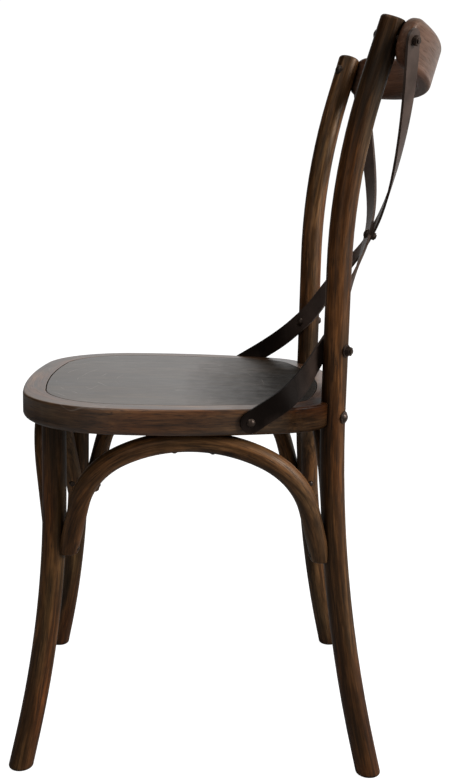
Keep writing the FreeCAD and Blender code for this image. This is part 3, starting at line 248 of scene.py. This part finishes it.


# a soft patch with a ragged edge; the looks use it mostly for painted shade and painted light, and once for
# dark flecks
def makePatch():
    tree, given, out = newGroup("patch", [("Centre", "Vector"), ("Size", "Vector"), ("Ragged", "Float")],
                                [("Mask", "Float")])
    place = objectPlace(tree)
    offset = vectorCalc(tree, "DIVIDE", vectorCalc(tree, "SUBTRACT", place, given["Centre"]), given["Size"])
    ragged = noise(tree, place, *patchEdge["noise"])
    ragged = calc(tree, "MULTIPLY", calc(tree, "SUBTRACT", ragged, 0.5), given["Ragged"])
    far = calc(tree, "ADD", ragged, vectorCalc(tree, "LENGTH", offset))
    plug(tree, remap(tree, far, patchEdge["full"], patchEdge["gone"], 1.0, 0.0), out["Mask"])
    return tree


arcMarks = {"drift": ((9, 9, 9), 2, 0.5), "driftTurns": 2.2, "width": 0.03,
            "where": ((26, 26, 26), 2, 0.6), "whereRange": (0.51, 0.63), "bareMiddle": (0.06, 0.10)}


# faint circular scuffs about one point of a flat top
def makeArcs():
    tree, given, out = newGroup("arcs", [("Centre", "Vector"), ("Spacing", "Float")], [("Mask", "Float")])
    place = objectPlace(tree)
    far = vectorCalc(tree, "LENGTH", vectorCalc(tree, "SUBTRACT", place, given["Centre"]))
    drift = noise(tree, place, *arcMarks["drift"])
    turns = calc(tree, "MULTIPLY_ADD", drift, arcMarks["driftTurns"],
                 calc(tree, "DIVIDE", far, given["Spacing"]))
    line = calc(tree, "ABSOLUTE", calc(tree, "SUBTRACT", calc(tree, "FRACT", turns), 0.5))
    line = remap(tree, line, 0.0, arcMarks["width"], 1.0, 0.0)
    where = remap(tree, noise(tree, place, *arcMarks["where"]), *arcMarks["whereRange"])
    where = calc(tree, "MULTIPLY", where, remap(tree, far, *arcMarks["bareMiddle"]))
    plug(tree, calc(tree, "MULTIPLY", line, where), out["Mask"])
    return tree


bendGrain = makeBendGrain()
straighten = makeStraighten()
stainedWood = makeStainedWood()
edgeWear = makeEdgeWear()
scuffs = makeScuffs()
paintedCornerShade = makePaintedCornerShade()
patch = makePatch()
arcs = makeArcs()
print("shader groups made")


def newMaterial(name):
    material = bpy.data.materials.new(name)
    material.use_nodes = True
    tree = material.node_tree
    tree.nodes.clear()
    shader = addNode(tree, "BsdfPrincipled")
    output = addNode(tree, "OutputMaterial")
    tree.links.new(shader.outputs[0], output.inputs[0])
    return material, tree, shader


# tints the colour and takes gloss off the coat in each patch of a look; most patches are painted shade or
# painted light
def layPatches(tree, look, colour):
    coat = look["coat"]
    for spot in look["patches"]:
        mask = useGroup(tree, patch, {
            "Centre": spot["centre"], "Size": spot["size"], "Ragged": spot["ragged"]})["Mask"]
        colour = blend(tree, mask, colour, spot["tint"], "MULTIPLY")
        coat = calc(tree, "MULTIPLY", coat, calc(tree, "MULTIPLY_ADD", mask, -spot["dull"], 1.0))
    return colour, coat


def setGloss(tree, shader, look, coat):
    plug(tree, coat, shader.inputs["Coat Weight"])
    shader.inputs["Coat Roughness"].default_value = look["coatRoughness"]
    shader.inputs["Specular IOR Level"].default_value = look["specular"]
    shader.inputs["Specular Tint"].default_value = (*look["glossTint"], 1.0)


def woodMaterial(name, look, grainOf):
    material, tree, shader = newMaterial(name)
    wood = useGroup(tree, stainedWood, {"Grain": grainOf(tree), "Seed": look["seed"]})
    wear = useGroup(tree, edgeWear, {"Width": look["wearWidth"], "Grit": look["wearGrit"]})["Wear"]
    marks = useGroup(tree, scuffs, {"Scale": look["scratchScale"]})
    cool = ramp(tree, wood["Figure"], [(0.0, look["dark"]), (0.5, look["middle"]), (1.0, look["light"])])
    warm = blend(tree, 1.0, cool, look["warmTint"], "MULTIPLY")
    colour = blend(tree, wood["Warmth"], cool, warm)
    shade = remap(tree, wood["Blotch"], 0.0, 1.0, look["blotchDark"], look["blotchLight"])
    colour = blend(tree, 1.0, colour, shade, "MULTIPLY")
    colour = blend(tree, calc(tree, "MULTIPLY", wood["Pores"], look["pores"]), colour, look["poreColour"])
    colour = blend(tree, calc(tree, "MULTIPLY", wear, look["wear"]), colour, look["wornColour"])
    scratched = calc(tree, "MULTIPLY", marks["Scratches"], look["scratches"])
    for ring in look["rings"]:
        mask = useGroup(tree, arcs, {"Centre": ring["centre"], "Spacing": ring["spacing"]})["Mask"]
        scratched = calc(tree, "MULTIPLY_ADD", mask, ring["strength"], scratched, clamp=True)
    colour = blend(tree, scratched, colour, look["scratchColour"])
    # painted shade and painted light from the look's patches
    colour, coat = layPatches(tree, look, colour)
    # painted shade darkens the colour in corners and crevices
    cornerShadeFactor = useGroup(tree, paintedCornerShade, {"Reach": look["paintedShadeReach"]})["Shade"]
    colour = blend(tree, 1.0, colour, cornerShadeFactor, "MULTIPLY")
    rough = calc(tree, "MULTIPLY_ADD", wood["Pores"], look["poreRough"], look["roughness"])
    rough = calc(tree, "MULTIPLY_ADD", marks["Rubbed"], look["rubbed"], rough)
    rough = calc(tree, "MULTIPLY_ADD", wood["Blotch"], look["blotchRough"], rough)
    bump = addNode(tree, "Bump", {}, {"Strength": look["bump"], "Distance": look["bumpDepth"],
                                      "Height": wood["Height"]})
    plug(tree, colour, shader.inputs["Base Color"])
    plug(tree, rough, shader.inputs["Roughness"])
    plug(tree, bump.outputs[0], shader.inputs["Normal"])
    setGloss(tree, shader, look, coat)
    return material


def dress(material, *names):
    for name in names:
        for slot in nodes[name].material_slots:
            slot.material = material


# the stain and lacquer shared by every wooden piece; each piece changes what differs
lacquer = {
    "dark": (0.0110, 0.0062, 0.0028),
    "middle": (0.0640, 0.0335, 0.0132),
    "light": (0.1850, 0.1010, 0.0420),
    "warmTint": (1.26, 0.76, 0.46),
    "poreColour": (0.008, 0.005, 0.003),
    "pores": 0.8,
    "blotchDark": 0.3,
    "blotchLight": 1.1,
    "wornColour": (0.26, 0.165, 0.105),
    "wear": 0.35,
    "wearWidth": 0.0016,
    "wearGrit": 140.0,
    "scratches": 0.0,
    "scratchScale": 12.0,
    "scratchColour": (0.34, 0.29, 0.25),
    "roughness": 0.36,
    "poreRough": 0.22,
    "blotchRough": 0.05,
    "rubbed": 0.08,
    "bump": 0.35,
    "bumpDepth": 0.0005,
    "paintedShadeReach": 0.012,
    "coat": 0.02,
    "coatRoughness": 0.22,
    "specular": 0.24,
    "glossTint": (1.0, 0.84, 0.68),
    "patches": [],  # painted shade and painted light, a few dark flecks, and how dull each is
    "rings": [],  # circular scuffs
}

# the bends of posts and legs: the height where one starts, up or down from there, its radius, and
# how far and which way in plan the bar leans at its end, in degrees
posts = {
    "upper": {"start": 0.608, "turn": 1.0, "radius": 0.735, "lean": 16.8, "plan": 67.0},
    "lower": {"start": 0.442, "turn": -1.0, "radius": 1.410, "lean": 17.2, "plan": 51.0},
}
legs = {"lower": {"start": 0.327, "turn": -1.0, "radius": 0.900, "lean": 18.8, "plan": -37.5}}


def uprightGrain(bends, side):
    def grain(tree):
        place = objectPlace(tree)
        for bend in bends.values():
            lean = math.radians(bend["lean"])
            plan = math.radians(bend["plan"])
            place = useGroup(tree, straighten, {
                "Place": place, "Start": bend["start"], "Turn": bend["turn"], "Radius": bend["radius"],
                "Limit": bend["radius"] * math.sin(lean), "Slope": math.tan(lean),
                "Towards": (side * math.cos(plan), math.sin(plan), 0.0)})["Place"]
        return place
    return grain


# painted shade and painted light: the left post darker at its foot, with painted shade at its top and along
# two edges and a painted highlight in its middle, and the right post with a painted highlight on its upper
# part and painted shade above the seat
postPaintedShadeAndLight = {
    "left": [
        {"centre": (0.19, 0.175, 0.05), "size": (0.06, 0.06, 0.20), "ragged": 0.9, "dull": 0.3,
         "tint": (0.74, 0.64, 0.54)},
        {"centre": (0.168, 0.165, 0.825), "size": (0.05, 0.05, 0.085), "ragged": 0.9, "dull": 0.4,
         "tint": (0.42, 0.45, 0.5)},
        {"centre": (0.150, 0.113, 0.43), "size": (0.03, 0.012, 0.16), "ragged": 0.9, "dull": 0.3,
         "tint": (0.4, 0.37, 0.35)},
        {"centre": (0.150, 0.108, 0.66), "size": (0.03, 0.010, 0.12), "ragged": 0.9, "dull": 0.3,
         "tint": (0.45, 0.43, 0.41)},
        {"centre": (0.165, 0.130, 0.60), "size": (0.04, 0.03, 0.12), "ragged": 0.9, "dull": -0.1,
         "tint": (1.2, 1.28, 1.4)}],
    "right": [
        {"centre": (-0.155, 0.150, 0.74), "size": (0.05, 0.06, 0.22), "ragged": 0.9, "dull": -0.4,
         "tint": (1.6, 1.55, 1.5)},
        {"centre": (-0.150, 0.125, 0.48), "size": (0.05, 0.05, 0.07), "ragged": 0.9, "dull": 0.4,
         "tint": (0.5, 0.52, 0.55)}],
}


# a leg has painted shade under the ring and at the foot, and painted light between
def legPaintedShadeAndLight(side):
    return [
        {"centre": (0.134 * side, -0.206, 0.415), "size": (0.05, 0.05, 0.045), "ragged": 0.9, "dull": 0.4,
         "tint": (0.42, 0.4, 0.38)},
        {"centre": (0.180 * side, -0.240, 0.03), "size": (0.06, 0.06, 0.16), "ragged": 0.9, "dull": 0.3,
         "tint": (0.72, 0.64, 0.56)},
        {"centre": (0.145 * side, -0.212, 0.25), "size": (0.06, 0.06, 0.12), "ragged": 0.9, "dull": 0.0,
         "tint": (1.3, 1.25, 1.1)}]


for word, side in (("left", 1), ("right", -1)):
    post = dict(lacquer, seed=(0.31 * side, 0.2, 0.4), patches=postPaintedShadeAndLight[word],
                warmTint=(1.22, 0.80, 0.52), light=(0.195, 0.110, 0.048))
    dress(woodMaterial("postWood_" + word, post, uprightGrain(posts, side)), "rear_post_" + word)
    leg = dict(lacquer, seed=(0.17 * side, 0.6, 0.1), patches=legPaintedShadeAndLight(side))
    dress(woodMaterial("legWood_" + word, leg, uprightGrain(legs, side)), "front_leg_" + word)


# a bend has its centre, the way its bar runs at the crown, the crown itself, its half span and how
# square it is, where 2 is an ellipse
def bentGrain(bend):
    def grain(tree):
        rise = Vector(bend["crown"]) - Vector(bend["centre"])
        return useGroup(tree, bendGrain, {
            "Centre": bend["centre"], "Along": bend["along"], "Rise": tuple(rise.normalized()),
            "Half Span": bend["half"], "Rise Length": rise.length,
            "Squareness": bend["squareness"]})["Grain"]
    return grain


archSpring = 0.227  # the height where the arches' bends begin
archCrown = 0.4108
archSquareness = 2.3


def sideArch(side):
    return {"centre": (0.1463 * side, -0.0364, archSpring), "along": (0.0563 * side, 0.9984, 0.0),
            "crown": (0.195 * side, -0.040, archCrown), "half": 0.160, "squareness": archSquareness}


arches = {
    "side_arch_left": sideArch(1),
    "side_arch_right": sideArch(-1),
    "front_arch": {"centre": (0.0, -0.2074, archSpring), "along": (1.0, 0.0, 0.0),
                   "crown": (0.0, -0.2298, archCrown), "half": 0.126, "squareness": archSquareness},
    "rear_arch": {"centre": (0.0, 0.1347, archSpring), "along": (1.0, 0.0, 0.0),
                  "crown": (0.0, 0.1232, archCrown), "half": 0.145, "squareness": archSquareness},
}
archFlecksAndPaintedHighlight = {"side_arch_left": [  # dark flecks, and a painted highlight that makes the crown pale
    {"centre": (0.205, -0.02, 0.398), "size": (0.03, 0.045, 0.006), "ragged": 2.2, "dull": 0.2,
     "tint": (0.25, 0.2, 0.17)},
    {"centre": (0.205, -0.04, 0.400), "size": (0.04, 0.09, 0.03), "ragged": 0.6, "dull": -0.4,
     "tint": (1.75, 1.8, 1.85)}]}
for index, (name, bend) in enumerate(arches.items()):
    look = dict(lacquer, seed=(0.2 * index, 0.5, 0.3 * index), blotchDark=0.4,
                warmTint=(1.18, 0.82, 0.56), middle=(0.086, 0.049, 0.022), light=(0.230, 0.134, 0.062),
                patches=archFlecksAndPaintedHighlight.get(name, []))
    dress(woodMaterial("braceWood_" + name, look, bentGrain(bend)), name)

# the crest rail leans back with the posts and bows backwards
crestLean = math.radians(14.5)
crestRadius = 0.300
crestMiddle = Vector((0.0, 0.2497, 0.8415))
crestBack = Vector((0.0, math.cos(crestLean), -math.sin(crestLean)))
crestBend = {"centre": tuple(crestMiddle - crestBack * crestRadius), "along": (1.0, 0.0, 0.0),
             "crown": tuple(crestMiddle), "half": crestRadius, "squareness": 2.0}
crest = dict(lacquer, seed=(0.9, 0.1, 0.2), dark=(0.050, 0.026, 0.015), middle=(0.100, 0.054, 0.034),
             light=(0.155, 0.092, 0.062), warmTint=(1.15, 0.88, 0.74), blotchDark=0.6, pores=0.4)
dress(woodMaterial("crestWood", crest, bentGrain(crestBend)), "crest_rail")

# the seat: a ring bent from one length, and a flush panel whose grain runs front to back
ringBend = {"centre": (0.0, -0.053, 0.437), "along": (0.0, -1.0, 0.0), "crown": (0.219, -0.053, 0.437),
            "half": 0.2005, "squareness": 2.7}
seatRing = dict(
    lacquer, seed=(0.4, 0.7, 0.1), middle=(0.096, 0.053, 0.024), light=(0.210, 0.122, 0.058),
    warmTint=(1.24, 0.78, 0.48), specular=0.03, coat=1.0, coatRoughness=0.36, wear=0.8,
    wearWidth=0.0028, wearGrit=70.0, scratches=0.3, scratchScale=9.0, glossTint=(1.0, 0.94, 0.88),
    # painted shade: the ring's front lower corner and its back part by the posts are darker and duller
    patches=[
        {"centre": (0.12, -0.235, 0.427), "size": (0.10, 0.08, 0.025), "ragged": 0.5, "dull": 0.65,
         "tint": (0.66, 0.54, 0.44)},
        {"centre": (0.15, 0.12, 0.442), "size": (0.15, 0.13, 0.06), "ragged": 0.4, "dull": 0.97,
         "tint": (0.36, 0.29, 0.24)}])
dress(woodMaterial("seatRingWood", seatRing, bentGrain(ringBend)), "seat_frame")

seatPanel = dict(
    lacquer, seed=(0.1, 0.3, 0.9), dark=(0.024, 0.015, 0.009), middle=(0.054, 0.036, 0.023),
    light=(0.115, 0.082, 0.052), warmTint=(1.05, 0.97, 0.86), blotchDark=0.6, pores=0.5,
    scratches=0.3, scratchScale=11.0, rubbed=0.14, roughness=0.4, specular=0.02, coat=0.96,
    coatRoughness=0.36, glossTint=(1.0, 0.94, 0.82),
    rings=[{"centre": (0.02, -0.06, 0.452), "spacing": 0.024, "strength": 0.85}],
    # painted shade: the panel's back part by the posts is darker and nearly without gloss
    patches=[{"centre": (0.06, 0.125, 0.452), "size": (0.45, 0.175, 0.1), "ragged": 0.3, "dull": 0.99,
              "tint": (0.17, 0.17, 0.16)}])


def panelGrain(tree):
    place = addNode(tree, "SeparateXYZ", {}, {"Vector": objectPlace(tree)}).outputs
    grain = addNode(tree, "CombineXYZ", {}, {"X": place["X"], "Y": place["Z"], "Z": place["Y"]})
    return grain.outputs[0]


dress(woodMaterial("seatPanelWood", seatPanel, panelGrain), "seat_panel")
print("wood finished")


def metalMaterial(name, look):
    material, tree, shader = newMaterial(name)
    place = objectPlace(tree)
    wear = useGroup(tree, edgeWear, {"Width": look["wearWidth"], "Grit": look["wearGrit"]})["Wear"]
    marks = useGroup(tree, scuffs, {"Scale": look["scratchScale"]})
    cloud = evenNoise(tree, place, look["cloud"], look["cloudDetail"], look["cloudGrit"])
    darkest, lightest = look["cloudRange"]
    colour = ramp(tree, cloud, [(darkest, look["dark"]), (lightest, look["light"])])
    colour = blend(tree, calc(tree, "MULTIPLY", wear, look["wear"]), colour, look["wornColour"])
    colour = blend(tree, calc(tree, "MULTIPLY", marks["Scratches"], look["scratches"]), colour,
                   look["wornColour"])
    # painted shade from the look's patches
    colour, coat = layPatches(tree, look, colour)
    rough = calc(tree, "MULTIPLY_ADD", cloud, look["cloudRough"], look["roughness"])
    rough = calc(tree, "MULTIPLY_ADD", marks["Rubbed"], look["rubbed"], rough)
    speckle = evenNoise(tree, place, look["speckle"], look["speckleDetail"])
    bump = addNode(tree, "Bump", {}, {"Strength": look["bump"], "Distance": look["bumpDepth"],
                                      "Height": speckle})
    bare = calc(tree, "MULTIPLY_ADD", wear, look["bareMetal"], look["metallic"])
    plug(tree, colour, shader.inputs["Base Color"])
    plug(tree, rough, shader.inputs["Roughness"])
    plug(tree, bump.outputs[0], shader.inputs["Normal"])
    plug(tree, bare, shader.inputs["Metallic"])
    setGloss(tree, shader, look, coat)
    return material


# what the straps and the fittings share
darkSteel = {
    "scratches": 0.35, "scratchScale": 26.0, "rubbed": 0.08, "bareMetal": 0.4,
    "cloudDetail": 5.0, "cloudGrit": 0.6, "cloudRange": (0.3, 0.7), "cloudRough": 0.24,
    "speckle": 1500.0, "speckleDetail": 2.0, "bump": 0.2, "bumpDepth": 0.0002,
}
straps = dict(
    darkSteel, dark=(0.036, 0.0240, 0.0185), light=(0.084, 0.0560, 0.0440), wornColour=(0.16, 0.11, 0.085),
    wear=0.4, wearWidth=0.0009, wearGrit=90.0, cloud=24.0, roughness=0.3, metallic=0.0, specular=0.03,
    coat=0.3, coatRoughness=0.34, glossTint=(1.0, 0.82, 0.72),
    # painted shadow: the straps' lower parts beside the posts are darker and duller
    patches=[
        {"centre": (0.20, 0.02, 0.48), "size": (0.10, 0.17, 0.12), "ragged": 0.3, "dull": 0.85,
         "tint": (0.08, 0.08, 0.08)},
        {"centre": (-0.19, 0.02, 0.49), "size": (0.10, 0.17, 0.12), "ragged": 0.3, "dull": 0.85,
         "tint": (0.2, 0.2, 0.2)}])
fittings = dict(
    darkSteel, dark=(0.022, 0.015, 0.012), light=(0.060, 0.040, 0.030), wornColour=(0.33, 0.235, 0.185),
    wear=0.6, wearWidth=0.0008, wearGrit=400.0, cloud=160.0, roughness=0.24, metallic=0.6, specular=0.5,
    coat=0.0, coatRoughness=0.3, glossTint=(1.0, 0.85, 0.75), patches=[])
fittingWords = ("bolt", "nut", "screw", "washer")
fittingNames = [name for name in nodes if any(word in name for word in fittingWords)]

dress(metalMaterial("strapSteel", straps), "back_strap_left", "back_strap_right")
dress(metalMaterial("fittingBronze", fittings), *fittingNames)
print("metal finished")

# a pale floor in a white room that is brighter on one side; only the camera sees the lift and backdrop
studio = {"floorHalf": 12.0, "floorColour": (0.3, 0.3, 0.3), "floorRoughness": 0.9, "floorSpecular": 0.1,
          "floorLift": 0.97, "backdrop": 1.05, "dim": 0.015, "bright": 0.85,
          "brightSide": (-0.55, 0.83, 0.10), "brightFrom": 0.02, "brightTo": 0.5}
white = (1.0, 1.0, 1.0, 1.0)


def makeFloor():
    half = studio["floorHalf"]
    mesh = bpy.data.meshes.new("floor")
    mesh.from_pydata([(-half, -half, 0), (half, -half, 0), (half, half, 0), (-half, half, 0)], [],
                     [(0, 1, 2, 3)])
    floor = bpy.data.objects.new("floor", mesh)
    bpy.context.scene.collection.objects.link(floor)
    material, tree, shader = newMaterial("floorPale")
    shader.inputs["Base Color"].default_value = (*studio["floorColour"], 1.0)
    shader.inputs["Roughness"].default_value = studio["floorRoughness"]
    shader.inputs["Specular IOR Level"].default_value = studio["floorSpecular"]
    seen = addNode(tree, "LightPath").outputs["Is Camera Ray"]
    shader.inputs["Emission Color"].default_value = white
    plug(tree, calc(tree, "MULTIPLY", seen, studio["floorLift"]), shader.inputs["Emission Strength"])
    mesh.materials.append(material)


def makeWorld():
    world = bpy.data.worlds.new("studioWhite")
    world.use_nodes = True
    bpy.context.scene.world = world
    tree = world.node_tree
    tree.nodes.clear()
    seen = addNode(tree, "LightPath").outputs["Is Camera Ray"]
    facing = vectorCalc(tree, "DOT_PRODUCT", addNode(tree, "TexCoord").outputs["Generated"],
                        studio["brightSide"])
    wall = remap(tree, facing, studio["brightFrom"], studio["brightTo"], studio["dim"], studio["bright"])
    strength = calc(tree, "MAXIMUM", wall, calc(tree, "MULTIPLY", seen, studio["backdrop"]))
    back = addNode(tree, "Background", {}, {"Color": white, "Strength": strength})
    output = addNode(tree, "OutputWorld")
    tree.links.new(back.outputs[0], output.inputs[0])


lamps = {
    "overhead": {"place": (0.9, -0.6, 2.4), "aim": (0.0, 0.0, 0.4), "size": 1.4, "watts": 15.0},
    "fill": {"place": (2.0, -1.1, 1.0), "aim": (0.0, 0.0, 0.5), "size": 1.2, "watts": 4.0},
    "key": {"place": (1.0, 2.2, 1.5), "aim": (0.1, 0.1, 0.5), "size": 1.0, "watts": 66.0},
}


def makeLamp(name, lamp):
    data = bpy.data.lights.new(name, "AREA")
    data.shape = "SQUARE"
    data.size = lamp["size"]
    data.energy = lamp["watts"]
    item = bpy.data.objects.new(name, data)
    item.location = lamp["place"]
    aim = Vector(lamp["aim"]) - Vector(lamp["place"])
    item.rotation_euler = aim.to_track_quat("-Z", "Y").to_euler()
    bpy.context.scene.collection.objects.link(item)


# the photograph's view: metres, radians, and millimetres for the lens and sensor
view = {"place": (1.35766, -0.04145, 0.68170), "yaw": 0.031018, "pitch": 0.180809, "roll": 0.022578,
        "lens": 48.017, "sensor": 36.0, "clipEnd": 60.0}


def makeCamera():
    yaw, pitch, roll = view["yaw"], view["pitch"], view["roll"]
    ahead = Vector((-math.cos(pitch) * math.cos(yaw), math.cos(pitch) * math.sin(yaw), -math.sin(pitch)))
    right = ahead.cross(Vector((0, 0, 1))).normalized()
    above = right.cross(ahead)
    turnedRight = right * math.cos(roll) + above * math.sin(roll)
    turnedUp = above * math.cos(roll) - right * math.sin(roll)
    data = bpy.data.cameras.new("camera")
    data.sensor_fit = "VERTICAL"
    data.sensor_height = view["sensor"]
    data.sensor_width = view["sensor"]
    data.lens = view["lens"]
    data.clip_end = view["clipEnd"]
    camera = bpy.data.objects.new("camera", data)
    matrix = Matrix((turnedRight, turnedUp, -ahead)).transposed().to_4x4()
    matrix.translation = view["place"]
    camera.matrix_world = matrix
    bpy.context.scene.collection.objects.link(camera)
    bpy.context.scene.camera = camera


makeFloor()
makeWorld()
for name, lamp in lamps.items():
    makeLamp(name, lamp)
makeCamera()
bpy.context.scene.view_settings.view_transform = "Standard"
print("studio set")
